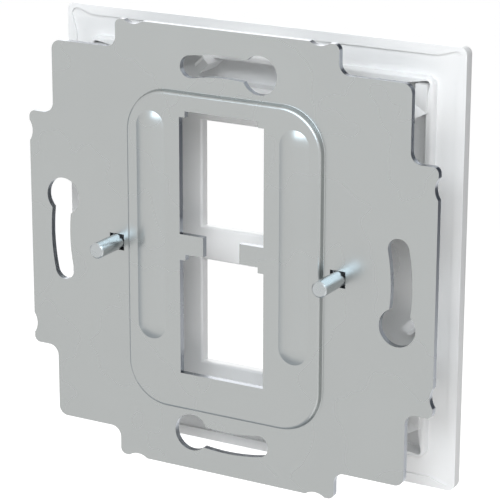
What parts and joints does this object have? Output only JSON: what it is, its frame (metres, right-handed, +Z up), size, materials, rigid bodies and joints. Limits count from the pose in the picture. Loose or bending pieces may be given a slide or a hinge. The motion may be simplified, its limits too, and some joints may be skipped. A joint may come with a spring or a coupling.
{
  "type": "data outlet faceplate",
  "caption": "Square wall cover for network jacks, held by screws on a pressed steel support plate with curved keyhole slots and jack openings.",
  "frame": {"origin": "centre of the support plate's back face, in the plane that lies on the wall around the box", "axes": "+Y into the wall, -Y out of the cover's front, +Z up, +X to the right as seen from the front"},
  "size_m": [0.071, 0.0197, 0.071],
  "materials": {
    "zinc_steel": "bright zinc-plated sheet steel, satin",
    "white_plastic": "moulded white plastic, soft gloss",
    "zinc_screw": "bright zinc-plated steel screw"
  },
  "bodies": {
    "root": {"support_plate": "zinc_steel", "faceplate": "white_plastic", "screw_left": "zinc_screw", "screw_right": "zinc_screw"}
  },
  "joints": []
}
